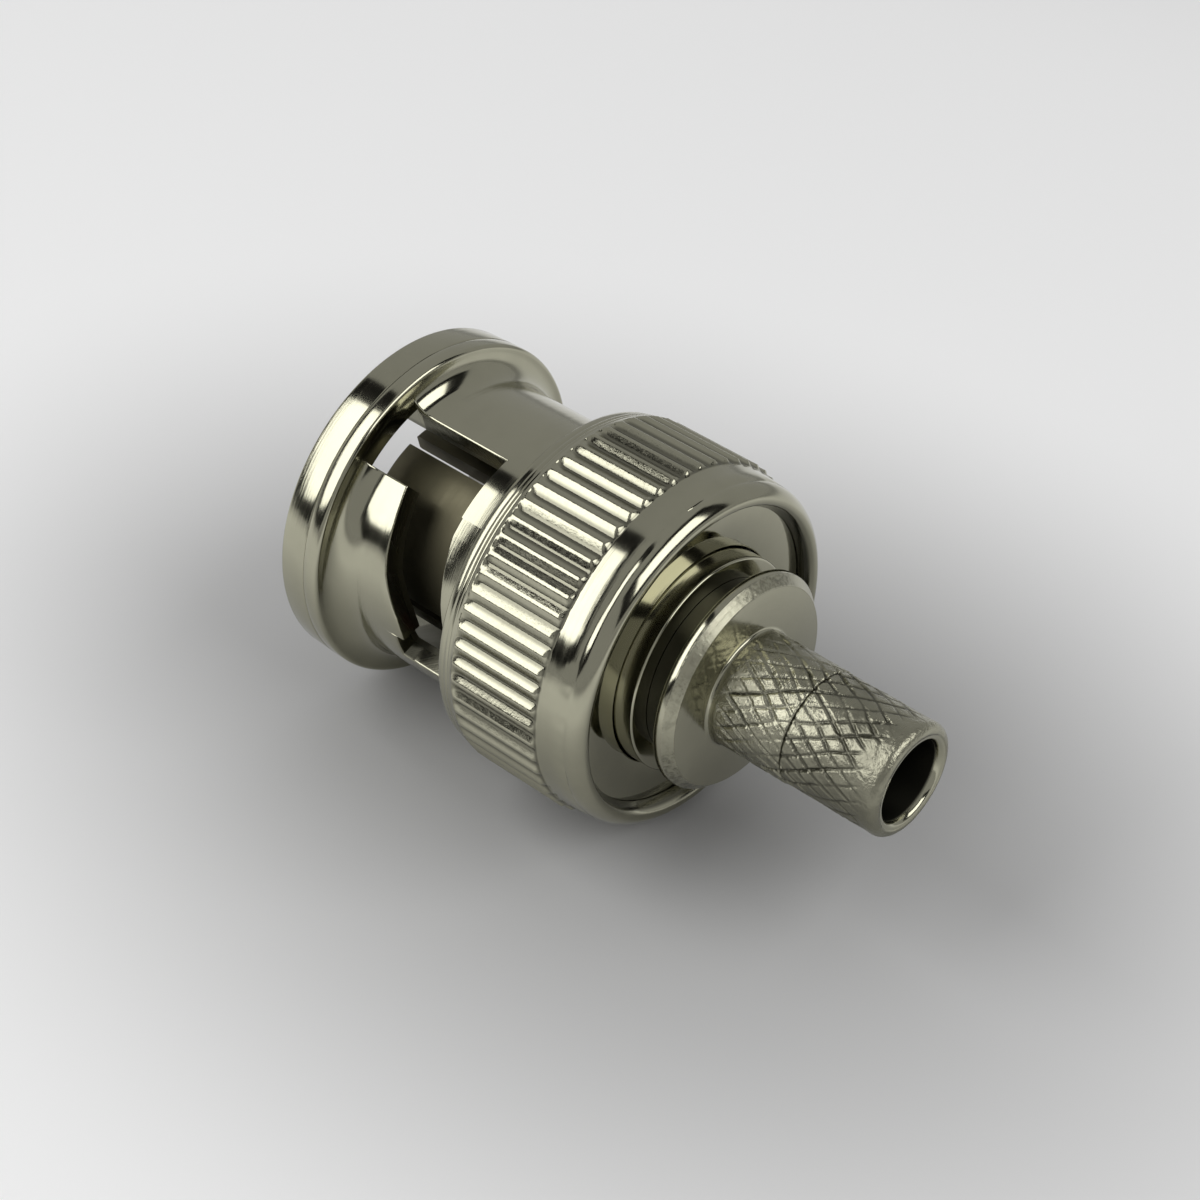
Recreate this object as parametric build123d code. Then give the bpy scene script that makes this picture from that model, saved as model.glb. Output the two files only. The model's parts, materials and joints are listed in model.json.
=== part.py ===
"""Bayonet coaxial cable plug: a turning coupling nut on a sprung plug body with a crimp stem.

Every piece is turned about a local Z axis, with angles counted from local X towards local Y, and is
then laid down so that the axis runs along +X, from the mating face at the origin to the cable end.
Lengths are in millimetres and angles in degrees.
"""
import math
import os

from build123d import *

# Fits between pieces
RUN_GAP = 0.06           # radial gap where one piece turns or slides on another
SEAT_GAP = 0.02          # axial gap between faces that bear on each other
PRESS_GAP = 0.01         # radial gap drawn at a pressed or bonded joint

# Coupling nut, front to rear
SOCKET_R = 4.90          # bore that the jack's barrel enters
NECK_WALL = 0.90         # wall of the neck that the bayonet slots are cut in
FLANGE_H = 1.18          # flange's height above the neck
FLANGE_W = 1.95
NECK_REAR = 0.46         # neck left whole behind the slots
SHOULDER_INSET = 1.72    # from the neck's end to the inner shoulder that holds the plug body
CHAMBER_STEP = 1.23      # from the socket's wall out to the room for the springs and the washer
KNURL_WALL = 1.13
KNURL_BEVEL_R = 0.23     # radial drop of the bevel in front of the knurl
KNURL_BEVEL_L = 0.87
KNURL_COUNT = 60
KNURL_DEPTH = 0.18
KNURL_CREST = 0.08       # flat left on a tooth between two flutes
KNURL_RAISE = 0.03       # knurling lifts the teeth this far above the end of the bevel
RING_DROP = 0.01         # smooth ring behind the knurl lies this far below the flutes' roots
RING_TAPER = 0.10
RING_L = 1.97
RIM_H = 0.55             # rim that stands up behind the washer
RIM_FLAT = 0.20          # flat crest of the rim
RIM_ROUND = 0.80         # radius that turns the ring in to the rim's crest
RIM_TURN = 61.0          # angle that it turns through
LIP = 0.11               # lip that is rolled in over the washer's edge
EDGE = 0.12              # broken edge of a turned corner
ARC_STEPS = 3            # straight cuts that make up a turned arc

# Bayonet slots, counted along the axis from the flange's rear edge
SLOT_COUNT = 2
ENTRY_ANGLE = 117.0      # middle of the entry channel
ENTRY_W = 2.70           # channel that lets a jack's lug in from the front
ENTRY_DEPTH = 0.95       # channel's depth from the socket's wall, under the flange
WINDOW_LEAD = 0.10       # slot breaks out through the neck this far behind the flange
LAND_L = 1.95            # land between the flange and the start of the cam edge
SLOT_W = 2.75
RAMP_START = 145.0
RAMP_END = 191.0
RAMP_RISE = 1.32         # how far the cam edge draws the jack in
SLOT_END = 203.0
DETENT = 0.42            # notch at the end of the cam edge that keeps the lug

# Washer and bowed springs behind the plug body's flange
WASHER_T = 0.60
SPRING_T = 0.30
SPRING_BOW = 1.00
SPRING_COUNT = 2
SPRING_INSET = 0.15      # springs are this much narrower than the chamber

# Plug body
JACK_ROOM = 0.85         # ring between the socket and the contact sleeve, for the jack's barrel
SLEEVE_WALL = 0.70       # sprung outer contact that enters the jack
SLEEVE_SETBACK = 1.45    # from the nut's front face to the sleeve's tip
SLIT_COUNT = 4
SLIT_ANGLE = 106.0       # place of the first slit
SLIT_W = 0.45
SLIT_L = 5.95
BODY_FLANGE_W = 1.20
HUB_STEP = 0.30          # hub's height above the sleeve
HUB_PROUD = 0.82         # hub that shows behind the washer
HUB_WALL = 1.45          # from the hub in to the bore for the insulator and the stem's spigot
GASKET_T = 0.65

# Crimp stem
SPIGOT_L = 2.45          # part of the stem that is pressed into the hub
GROOVE_DEPTH = 0.80      # groove between the hub and the disc
GROOVE_L = 1.02
DISC_STEP = 0.04         # disc's height above the hub
DISC_L = 0.34
DISC_CHAMFER_R = 0.35
DISC_CHAMFER_L = 0.39
BARREL_WALL = 0.63
BARREL_L = 7.48
BARREL_ROUND = 0.34      # rounded outer edge of the barrel's end
CABLE_R = 1.64           # bore for the cable's dielectric
CABLE_LEAD = 0.12        # chamfer at the bore's mouth

# Insulator and centre contact
TUBE_WALL = 0.90         # open tube round the pin, inside the sleeve
TUBE_L = 3.30
TUBE_SETBACK = 2.55      # from the sleeve's tip to the insulator's front
PIN_R = 0.67
PIN_TIP_SETBACK = 1.75   # from the sleeve's tip to the pin's tip
PIN_NOSE_L = 0.80
PIN_COLLAR_H = 0.28      # collar's height above the pin
PIN_COLLAR_INSET = 0.80  # from the insulator's floor to the pin's collar
WIRE_R = 0.50            # hole for the cable's centre wire
WIRE_DEPTH = 3.00

# Radii, each from the one that it fits round or in
NECK_R = SOCKET_R + NECK_WALL
FLANGE_R = NECK_R + FLANGE_H
CHAMBER_R = SOCKET_R + CHAMBER_STEP
KNURL_R = CHAMBER_R + KNURL_WALL
FLUTE_ROOT_R = KNURL_R - KNURL_DEPTH
RING_R = FLUTE_ROOT_R - RING_DROP
SLEEVE_R = SOCKET_R - JACK_ROOM
SLEEVE_BORE_R = SLEEVE_R - SLEEVE_WALL
HUB_R = SLEEVE_R + HUB_STEP
BODY_BORE_R = HUB_R - HUB_WALL
GROOVE_R = HUB_R - GROOVE_DEPTH
DISC_R = HUB_R + DISC_STEP
BARREL_R = CABLE_R + BARREL_WALL
TUBE_R = SLEEVE_BORE_R - TUBE_WALL
PIN_COLLAR_R = PIN_R + PIN_COLLAR_H

# Places along the axis, each from the piece in front of it
CAM_Z = FLANGE_W + LAND_L
SLOT_END_Z = CAM_Z + RAMP_RISE + SLOT_W
KNURL_SECTION_Z = SLOT_END_Z + NECK_REAR
SHOULDER_Z = KNURL_SECTION_Z + SHOULDER_INSET
BODY_FLANGE_Z = SHOULDER_Z + SEAT_GAP
SPRING_Z = BODY_FLANGE_Z + BODY_FLANGE_W + SEAT_GAP
SPRING_PITCH = SPRING_T + SPRING_BOW + SEAT_GAP
WASHER_Z = SPRING_Z + SPRING_COUNT * SPRING_PITCH
LIP_Z = WASHER_Z + WASHER_T + SEAT_GAP
RIM_Z = LIP_Z + RIM_H
KNURL_END_Z = RIM_Z - RING_L
KNURL_START_Z = KNURL_SECTION_Z + KNURL_BEVEL_L
HUB_END_Z = WASHER_Z + WASHER_T + HUB_PROUD
DISC_Z = HUB_END_Z + GROOVE_L
DISC_EDGE_Z = DISC_Z + DISC_L
DISC_FACE_Z = DISC_EDGE_Z + DISC_CHAMFER_L
BARREL_END_Z = DISC_FACE_Z + BARREL_L
SPIGOT_Z = HUB_END_Z - SPIGOT_L
TUBE_Z = SLEEVE_SETBACK + TUBE_SETBACK
TUBE_FLOOR_Z = TUBE_Z + TUBE_L
PIN_COLLAR_Z = TUBE_FLOOR_Z + PIN_COLLAR_INSET
INSULATOR_STEP_Z = PIN_COLLAR_Z + PIN_COLLAR_INSET

# Local Z lies along +X and local X along +Y, so that an angle counts from +Y up towards +Z
LAID_DOWN = Plane(origin=(0, 0, 0), x_dir=(0, 1, 0), z_dir=(1, 0, 0))


def turned(*outline):
    """Solid of revolution about local Z of a closed outline of edges in (radius, axial place)."""
    return revolve(Plane.XZ * make_face(outline), Axis.Z)


def straight(*points):
    """Open run of straight edges through (radius, axial place) points."""
    return Polyline(*points).edges()


def arc_points(centre_r, centre_z, radius, start_angle, end_angle):
    """Points on a turned arc, between two angles counted from straight out towards the rear."""
    step = (end_angle - start_angle) / ARC_STEPS
    angles = [math.radians(start_angle + i * step) for i in range(ARC_STEPS + 1)]
    return [(centre_r + radius * math.cos(a), centre_z + radius * math.sin(a)) for a in angles]


def ring_sector(inner_r, outer_r, start_z, end_z, start_angle, end_angle):
    """Sector of a ring, between two angles about local Z."""
    section = Plane.XZ * Pos((inner_r + outer_r) / 2, (start_z + end_z) / 2) * Rectangle(
        outer_r - inner_r, end_z - start_z
    )
    return Rot(0, 0, start_angle) * revolve(section, Axis.Z, end_angle - start_angle)


def around(count, piece):
    """Copies of a piece, evenly spaced about local Z."""
    return [Rot(0, 0, 360 * i / count) * piece for i in range(count)]


def nut_blank():
    """Coupling nut as turned: flange, hollow fillet, neck, knurl section, smooth ring and rim."""
    hollow_r = FLANGE_H - EDGE
    hollow = arc_points(NECK_R + hollow_r, FLANGE_W + hollow_r, hollow_r, 270, 180)
    ring_end_z = RIM_Z - RIM_ROUND * math.sin(math.radians(RIM_TURN))
    rolled = arc_points(RING_R - RING_TAPER - RIM_ROUND, ring_end_z, RIM_ROUND, 0, RIM_TURN)
    crest_r = rolled[-1][0]
    return turned(*straight(
        (SOCKET_R, 0),
        (FLANGE_R - EDGE, 0),
        (FLANGE_R, EDGE),
        (FLANGE_R, FLANGE_W - EDGE),
        *hollow,
        (NECK_R, KNURL_SECTION_Z),
        (KNURL_R - KNURL_BEVEL_R, KNURL_SECTION_Z),
        (KNURL_R - KNURL_RAISE, KNURL_START_Z),
        (KNURL_R, KNURL_START_Z),
        (KNURL_R, KNURL_END_Z),
        (RING_R, KNURL_END_Z),
        *rolled,
        (crest_r - RIM_FLAT, RIM_Z),
        (CHAMBER_R - LIP, LIP_Z),
        (CHAMBER_R, LIP_Z),
        (CHAMBER_R, SHOULDER_Z),
        (SOCKET_R, SHOULDER_Z),
        (SOCKET_R, 0),
    ))


def knurl_flute():
    """One V flute of the straight knurl, standing at angle 0."""
    half_open = math.pi * KNURL_R / KNURL_COUNT - KNURL_CREST / 2
    section = Polyline(
        (FLUTE_ROOT_R, 0),
        (KNURL_R + KNURL_DEPTH, 2 * half_open),
        (KNURL_R + KNURL_DEPTH, -2 * half_open),
        close=True,
    )
    return Pos(0, 0, KNURL_START_Z) * extrude(make_face(section), KNURL_END_Z - KNURL_START_Z)


def entry_box(inner_r, outer_r, start_z, end_z):
    """Straight cut as wide as a jack's lug, at the slot's entry."""
    box = Pos((inner_r + outer_r) / 2, 0, (start_z + end_z) / 2) * Box(
        outer_r - inner_r, ENTRY_W, end_z - start_z
    )
    return Rot(0, 0, ENTRY_ANGLE) * box


def bayonet_slot():
    """Cutter for one slot: entry channel, level run, helical cam ramp and the detent at its end."""
    inner_r = SOCKET_R - NECK_WALL / 2
    outer_r = NECK_R + NECK_WALL / 2
    slot_z = CAM_Z + SLOT_W
    channel = entry_box(inner_r, SOCKET_R + ENTRY_DEPTH, 0, slot_z)
    window = entry_box(inner_r, FLANGE_R, FLANGE_W + WINDOW_LEAD, slot_z)
    level = ring_sector(inner_r, outer_r, CAM_Z, CAM_Z + SLOT_W, ENTRY_ANGLE, RAMP_START)
    ramp_path = Helix(
        pitch=RAMP_RISE * 360 / (RAMP_END - RAMP_START),
        height=RAMP_RISE,
        radius=SOCKET_R,
        center=(0, 0, CAM_Z + SLOT_W / 2),
    )
    ramp_section = Plane.XZ * Pos((inner_r + outer_r) / 2, CAM_Z + SLOT_W / 2) * Rectangle(
        outer_r - inner_r, SLOT_W
    )
    ramp = Rot(0, 0, RAMP_START) * sweep(ramp_section, path=ramp_path, is_frenet=True)
    ramp_top = CAM_Z + RAMP_RISE
    detent = ring_sector(inner_r, outer_r, ramp_top - DETENT, SLOT_END_Z, RAMP_END, SLOT_END)
    return channel + window + level + ramp + detent


def coupling_nut():
    """Nut with its bayonet slots and straight knurl."""
    slots = around(SLOT_COUNT, bayonet_slot())
    flutes = around(KNURL_COUNT, knurl_flute())
    return nut_blank() - slots - flutes


def retaining_washer():
    """Flat washer that the nut's lip holds, running on the hub."""
    inner_r = HUB_R + RUN_GAP
    outer_r = CHAMBER_R - RUN_GAP / 2
    return turned(*straight(
        (inner_r, WASHER_Z),
        (outer_r, WASHER_Z),
        (outer_r, WASHER_Z + WASHER_T),
        (inner_r, WASHER_Z + WASHER_T),
        (inner_r, WASHER_Z),
    ))


def bowed_spring(index):
    """Spring washer bowed about one line; every second one is turned over, back to back."""
    outer_r = CHAMBER_R - SPRING_INSET
    inner_r = HUB_R + SPRING_INSET
    bow_r = (outer_r**2 + SPRING_BOW**2) / (2 * SPRING_BOW)
    sheet = Pos(0, 0, SPRING_BOW - bow_r) * Rot(90, 0, 0) * (
        Cylinder(bow_r + SPRING_T, 3 * outer_r) - Cylinder(bow_r, 3 * outer_r)
    )
    blank_h = SPRING_T + SPRING_BOW
    blank = Pos(0, 0, blank_h / 2) * (Cylinder(outer_r, blank_h) - Cylinder(inner_r, blank_h))
    spring = blank & sheet
    if index % 2:
        spring = Pos(0, 0, blank_h) * Rot(180, 0, 0) * spring
    return Pos(0, 0, SPRING_Z + index * SPRING_PITCH) * spring


def plug_body():
    """Turned body: slit contact sleeve, flange that the nut's shoulder holds, and hub."""
    flange_r = CHAMBER_R - SPRING_INSET
    flange_end_z = BODY_FLANGE_Z + BODY_FLANGE_W
    body = turned(*straight(
        (SLEEVE_BORE_R, SLEEVE_SETBACK),
        (SLEEVE_R - EDGE, SLEEVE_SETBACK),
        (SLEEVE_R, SLEEVE_SETBACK + EDGE),
        (SLEEVE_R, BODY_FLANGE_Z),
        (flange_r, BODY_FLANGE_Z),
        (flange_r, flange_end_z),
        (HUB_R, flange_end_z),
        (HUB_R, HUB_END_Z),
        (BODY_BORE_R, HUB_END_Z),
        (BODY_BORE_R, INSULATOR_STEP_Z),
        (SLEEVE_BORE_R, INSULATOR_STEP_Z),
        (SLEEVE_BORE_R, SLEEVE_SETBACK),
    ))
    slit = Rot(0, 0, SLIT_ANGLE) * Pos(SLEEVE_R, 0, SLEEVE_SETBACK + SLIT_L / 2) * Box(
        3 * SLEEVE_WALL, SLIT_W, SLIT_L
    )
    return body - around(SLIT_COUNT, slit)


def gasket():
    """Sealing ring at the sleeve's root, which the jack's barrel end presses on."""
    inner_r = SLEEVE_R + PRESS_GAP
    outer_r = SOCKET_R - RUN_GAP
    end_z = BODY_FLANGE_Z - SEAT_GAP
    return turned(*straight(
        (inner_r, end_z - GASKET_T),
        (outer_r, end_z - GASKET_T),
        (outer_r, end_z),
        (inner_r, end_z),
        (inner_r, end_z - GASKET_T),
    ))


def insulator():
    """Insulator with an open tube round the pin and a stepped hole for the pin's collar."""
    outer_r = SLEEVE_BORE_R - PRESS_GAP
    tail_r = BODY_BORE_R - PRESS_GAP
    step_z = INSULATOR_STEP_Z - SEAT_GAP
    end_z = SPIGOT_Z - SEAT_GAP
    collar_r = PIN_COLLAR_R + PRESS_GAP
    pin_r = PIN_R + PRESS_GAP
    return turned(*straight(
        (TUBE_R, TUBE_Z),
        (outer_r, TUBE_Z),
        (outer_r, step_z),
        (tail_r, step_z),
        (tail_r, end_z),
        (collar_r, end_z),
        (collar_r, PIN_COLLAR_Z),
        (pin_r, PIN_COLLAR_Z),
        (pin_r, TUBE_FLOOR_Z),
        (TUBE_R, TUBE_FLOOR_Z),
        (TUBE_R, TUBE_Z),
    ))


def centre_contact():
    """Pin with a tapered nose, a collar and a hole for the cable's centre wire."""
    tip_z = SLEEVE_SETBACK + PIN_TIP_SETBACK
    tip_r = PIN_R / 2
    collar_z = PIN_COLLAR_Z + SEAT_GAP
    end_z = SPIGOT_Z - SEAT_GAP
    hole_z = end_z - WIRE_DEPTH
    return turned(*straight(
        (tip_r, tip_z),
        (PIN_R, tip_z + PIN_NOSE_L),
        (PIN_R, collar_z),
        (PIN_COLLAR_R, collar_z),
        (PIN_COLLAR_R, end_z),
        (WIRE_R, end_z),
        (WIRE_R, hole_z),
        (0, hole_z),
        (0, tip_z),
        (tip_r, tip_z),
    ))


def crimp_stem():
    """Stem pressed into the hub: spigot, neck, chamfered disc and the hollow crimp barrel."""
    spigot_r = BODY_BORE_R - PRESS_GAP
    end = arc_points(BARREL_R - BARREL_ROUND, BARREL_END_Z - BARREL_ROUND, BARREL_ROUND, 0, 90)
    return turned(*straight(
        (CABLE_R, SPIGOT_Z),
        (spigot_r, SPIGOT_Z),
        (spigot_r, HUB_END_Z),
        (GROOVE_R, HUB_END_Z),
        (GROOVE_R, DISC_Z),
        (DISC_R, DISC_Z),
        (DISC_R, DISC_EDGE_Z),
        (DISC_R - DISC_CHAMFER_R, DISC_FACE_Z),
        (BARREL_R, DISC_FACE_Z),
        *end,
        (CABLE_R + CABLE_LEAD, BARREL_END_Z),
        (CABLE_R, BARREL_END_Z - CABLE_LEAD),
        (CABLE_R, SPIGOT_Z),
    ))


def main():
    pieces = {
        "coupling_nut": coupling_nut(),
        "retaining_washer": retaining_washer(),
        "plug_body": plug_body(),
        "crimp_stem": crimp_stem(),
        "gasket": gasket(),
        "insulator": insulator(),
        "centre_contact": centre_contact(),
    }
    for index in range(SPRING_COUNT):
        pieces[f"bowed_spring_{index + 1}"] = bowed_spring(index)
    os.makedirs("parts", exist_ok=True)
    for name, piece in pieces.items():
        export_step(LAID_DOWN.location * piece, f"parts/{name}.step")


main()
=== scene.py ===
"""Looks of a nickel-plated bayonet cable plug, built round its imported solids.

The plug lies along the X axis, with its mating face at the origin and its cable end towards +X. Angles count
about that axis from +Y up towards +Z. Profiles are worked out in millimetres and become metres in the mesh.
"""
import json
import math

import bmesh
import bpy
import numpy as np
from bpy.props import FloatProperty, FloatVectorProperty, IntProperty, PointerProperty
from mathutils import Matrix, Vector


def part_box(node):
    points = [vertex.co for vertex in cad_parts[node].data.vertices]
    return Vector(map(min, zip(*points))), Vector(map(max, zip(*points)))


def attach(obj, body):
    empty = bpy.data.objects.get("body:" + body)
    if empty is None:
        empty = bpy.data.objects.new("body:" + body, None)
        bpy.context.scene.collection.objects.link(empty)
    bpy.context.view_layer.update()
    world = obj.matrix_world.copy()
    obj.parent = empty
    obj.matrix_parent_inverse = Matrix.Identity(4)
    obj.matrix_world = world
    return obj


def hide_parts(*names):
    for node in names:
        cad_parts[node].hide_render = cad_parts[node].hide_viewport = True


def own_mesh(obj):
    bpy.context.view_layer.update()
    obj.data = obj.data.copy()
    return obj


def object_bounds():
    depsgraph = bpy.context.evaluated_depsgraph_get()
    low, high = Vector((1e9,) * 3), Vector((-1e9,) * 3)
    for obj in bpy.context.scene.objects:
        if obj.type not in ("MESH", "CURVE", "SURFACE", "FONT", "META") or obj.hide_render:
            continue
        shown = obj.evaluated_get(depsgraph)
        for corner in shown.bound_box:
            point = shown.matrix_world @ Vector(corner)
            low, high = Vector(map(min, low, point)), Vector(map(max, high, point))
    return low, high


bl_info = {
    "name": "Bayonet cable plug",
    "version": (1, 0, 0),
    "blender": (4, 5, 0),
    "location": "3D View > Sidebar > Cable plug",
    "description": "Builds the pieces, finishes and stage of a nickel-plated bayonet cable plug",
    "category": "Object",
}

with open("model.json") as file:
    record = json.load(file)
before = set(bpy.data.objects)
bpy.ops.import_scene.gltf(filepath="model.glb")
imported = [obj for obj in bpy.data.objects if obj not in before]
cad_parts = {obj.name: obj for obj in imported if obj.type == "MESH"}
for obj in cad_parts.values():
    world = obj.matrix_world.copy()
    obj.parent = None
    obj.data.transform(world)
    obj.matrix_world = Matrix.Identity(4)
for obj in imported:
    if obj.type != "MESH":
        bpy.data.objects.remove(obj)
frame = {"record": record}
CAD_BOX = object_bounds()
NUT_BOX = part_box("coupling_nut")
WASHER_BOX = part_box("retaining_washer")
BODY_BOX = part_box("plug_body")
STEM_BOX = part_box("crimp_stem")
GASKET_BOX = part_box("gasket")
INSULATOR_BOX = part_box("insulator")
PIN_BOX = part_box("centre_contact")

LENGTH = {"precision": 6, "subtype": "DISTANCE", "unit": "LENGTH"}
ANGLE = {"subtype": "ANGLE", "unit": "ROTATION"}
COLOUR = {"size": 3, "min": 0.0, "max": 1.0, "subtype": "COLOR"}

MM = 0.001
# Half the width in degrees of the step between a slot's entry channel and the wall beside it
STEP_ANGLE = 0.02
# Places along the axis, in millimetres from the nut's front face
HOLLOW_MIDDLE = 3.0
NECK_END = 8.43
KNURL_START, KNURL_END = 9.30, 13.30
NUT_SHOULDER = 10.15
BODY_FLANGE = 10.17, 11.37
INSULATOR_FLOOR, COLLAR_SEAT, INSULATOR_STEP = 7.30, 8.10, 8.90
GROOVE_START, DISC_FRONT, DISC_REAR = 15.47, 16.47, 17.20
BARREL_FACE = 17.36, 24.0
# Radii in millimetres
HOLLOW_RADIUS, SPIGOT_RADIUS, GROOVE_RADIUS, COLLAR_RADIUS, WIRE_RADIUS = 1.05, 2.89, 3.55, 0.95, 0.50
# Gaps in millimetres where pieces run on, are pressed into or are seated against one another
RUN_GAP, PRESS_GAP, SEAT_GAP = 0.06, 0.01, 0.02
# Front and rear edge of a bayonet slot at its entry and at its detent, and the cam's top, as places along the
# axis, and between them the points of both edges of the first slot, as angle in degrees and place
ENTRY_EDGES, DETENT_EDGES, CAM_TOP = (3.85, 6.65), (4.82, 7.97), 5.22
CAM_RAMP = ((130, 3.85), (137, 3.98), (144.5, 4.09), (151, 4.16), (158, 4.25), (164, 4.36), (169, 4.53),
            (175, 4.77), (181, 5.03))
REAR_RAMP = ((138, 6.65), (142, 6.73), (146, 6.83), (151.5, 6.92), (157, 7.02), (163, 7.14), (170, 7.34),
             (178, 7.60))


def mm(length):
    """A length in metres as millimetres, the unit of the profiles."""
    return length / MM


class NutSettings(bpy.types.PropertyGroup):
    """Sizes of the coupling nut."""

    knurl_radius: FloatProperty(
        name="Knurl radius", description="Radius over the crests of the straight knurl",
        default=0.00726, **LENGTH)
    length: FloatProperty(
        name="Length", description="From the nut's front face to the crest of its rear rim",
        default=NUT_BOX[1].x, **LENGTH)
    flange_radius: FloatProperty(
        name="Flange radius", description="Radius of the front flange", default=0.00698, **LENGTH)
    neck_radius: FloatProperty(
        name="Neck radius", description="Outer radius of the slotted neck", default=0.00580, **LENGTH)
    socket_radius: FloatProperty(
        name="Socket radius", description="Radius of the bore that takes the jack",
        default=0.00490, **LENGTH)
    channel_radius: FloatProperty(
        name="Channel radius", description="Radius of the floor of the entry channels, under the flange",
        default=0.00585, **LENGTH)
    window_start: FloatProperty(
        name="Window start", description="Where the slots break out through the hollow behind the flange",
        default=0.00205, **LENGTH)
    chamber_radius: FloatProperty(
        name="Chamber radius", description="Radius of the bore round the springs",
        default=0.00613, **LENGTH)
    ring_radius: FloatProperty(
        name="Ring radius", description="Radius of the smooth ring behind the knurl",
        default=0.00707, **LENGTH)
    flutes: IntProperty(
        name="Flutes", description="Number of grooves round the straight knurl", default=60, min=12)
    flute_depth: FloatProperty(
        name="Flute depth", description="Depth of the knurl's grooves", default=0.000168, **LENGTH)
    entry_angle: FloatProperty(
        name="Entry angle", description="Middle of the first slot's entry channel",
        default=math.radians(117.0), **ANGLE)
    entry_width: FloatProperty(
        name="Entry width", description="Angle that an entry channel takes up",
        default=math.radians(26.9), **ANGLE)
    ramp_end: FloatProperty(
        name="Ramp end", description="Angle at which the cam drops into the detent",
        default=math.radians(191.0), **ANGLE)
    slot_end: FloatProperty(
        name="Slot end", description="Angle at which the slot closes", default=math.radians(203.0), **ANGLE)
    edge: FloatProperty(
        name="Slot edge", description="Rounding of the slots' outer edges", default=0.00007, **LENGTH)


class BodySettings(bpy.types.PropertyGroup):
    """Sizes of the plug body, its washer, seal, insulator and pin."""

    sleeve_radius: FloatProperty(
        name="Sleeve radius", description="Outer radius of the slit contact sleeve",
        default=0.00405, **LENGTH)
    sleeve_bore: FloatProperty(
        name="Sleeve bore", description="Inner radius of the slit contact sleeve",
        default=0.00335, **LENGTH)
    hub_radius: FloatProperty(
        name="Hub radius", description="Radius of the hub behind the washer", default=0.00435, **LENGTH)
    hub_bore: FloatProperty(
        name="Hub bore", description="Radius of the bore that the stem is pressed into",
        default=0.00290, **LENGTH)
    slits: IntProperty(name="Slits", description="Number of slits in the sleeve", default=4, min=2)
    slit_angle: FloatProperty(
        name="Slit angle", description="Angle of the first slit", default=math.radians(106.0), **ANGLE)
    slit_width: FloatProperty(name="Slit width", description="Width of a slit", default=0.00045, **LENGTH)
    slit_length: FloatProperty(
        name="Slit length", description="Length of a slit from the sleeve's tip", default=0.00595, **LENGTH)
    tube_radius: FloatProperty(
        name="Insulator tube", description="Inner radius of the insulator's open tube",
        default=0.00245, **LENGTH)
    pin_radius: FloatProperty(
        name="Pin radius", description="Radius of the centre pin", default=0.00067, **LENGTH)


class StemSettings(bpy.types.PropertyGroup):
    """Sizes of the crimp stem and its diamond knurl."""

    disc_radius: FloatProperty(
        name="Disc radius", description="Radius of the chamfered disc", default=STEM_BOX[1].z, **LENGTH)
    barrel_radius: FloatProperty(
        name="Barrel radius", description="Radius over the diamonds of the crimp barrel's front half",
        default=0.00230, **LENGTH)
    bore_radius: FloatProperty(
        name="Cable bore", description="Radius of the hole for the cable", default=0.00164, **LENGTH)
    starts: IntProperty(
        name="Knurl starts", description="Number of grooves of each hand round the barrel",
        default=21, min=6)
    lead: FloatProperty(
        name="Knurl spacing", description="Distance along the barrel from one groove to the next",
        default=0.00115, **LENGTH)
    groove_depth: FloatProperty(
        name="Groove depth", description="Depth of the diamond knurl's grooves", default=0.000085, **LENGTH)
    relief_place: FloatProperty(
        name="Relief line", description="Place along the axis of the fine groove round the barrel",
        default=0.02051, **LENGTH)


class FinishSettings(bpy.types.PropertyGroup):
    """Colours of the plug's finishes."""

    nickel: FloatVectorProperty(
        name="Nickel", description="Colour of the nickel plate", default=(0.42, 0.41, 0.312), **COLOUR)
    gold: FloatVectorProperty(
        name="Gold", description="Colour of the gold plate", default=(0.86, 0.61, 0.24), **COLOUR)
    steel: FloatVectorProperty(
        name="Spring steel", description="Colour of the spring washers",
        default=(0.42, 0.42, 0.43), **COLOUR)
    white: FloatVectorProperty(
        name="Insulator white", description="Colour of the insulator", default=(0.82, 0.82, 0.79), **COLOUR)
    rubber: FloatVectorProperty(
        name="Seal rubber", description="Colour of the sealing ring", default=(0.36, 0.10, 0.06), **COLOUR)


class StageSettings(bpy.types.PropertyGroup):
    """Floor, surroundings, lamps and camera."""

    floor: FloatVectorProperty(
        name="Floor", description="Colour of the pale floor under the plug",
        default=(0.95, 0.95, 0.95), **COLOUR)
    surround: FloatVectorProperty(
        name="Surroundings", description="Colour of the room that the metal mirrors",
        default=(0.42, 0.42, 0.42), **COLOUR)
    key: FloatProperty(
        name="Key light", description="Brightness of the large softbox", default=3.0, min=0.0)
    rear: FloatProperty(
        name="Rear light", description="Brightness of the softbox behind the cable end",
        default=2.9, min=0.0)
    camera_place: FloatVectorProperty(
        name="Camera place", description="Where the camera stands",
        size=3, default=(0.06322, -0.05900, 0.06729), subtype="TRANSLATION", unit="LENGTH")
    camera_aim: FloatVectorProperty(
        name="Camera aim", description="Point that the camera looks at",
        size=3, default=(0.01211, -0.00232, 0.00268), subtype="TRANSLATION", unit="LENGTH")
    lens: FloatProperty(
        name="Lens", description="Focal length on a 36 mm sensor, in millimetres", default=83.3, min=1.0)


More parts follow.
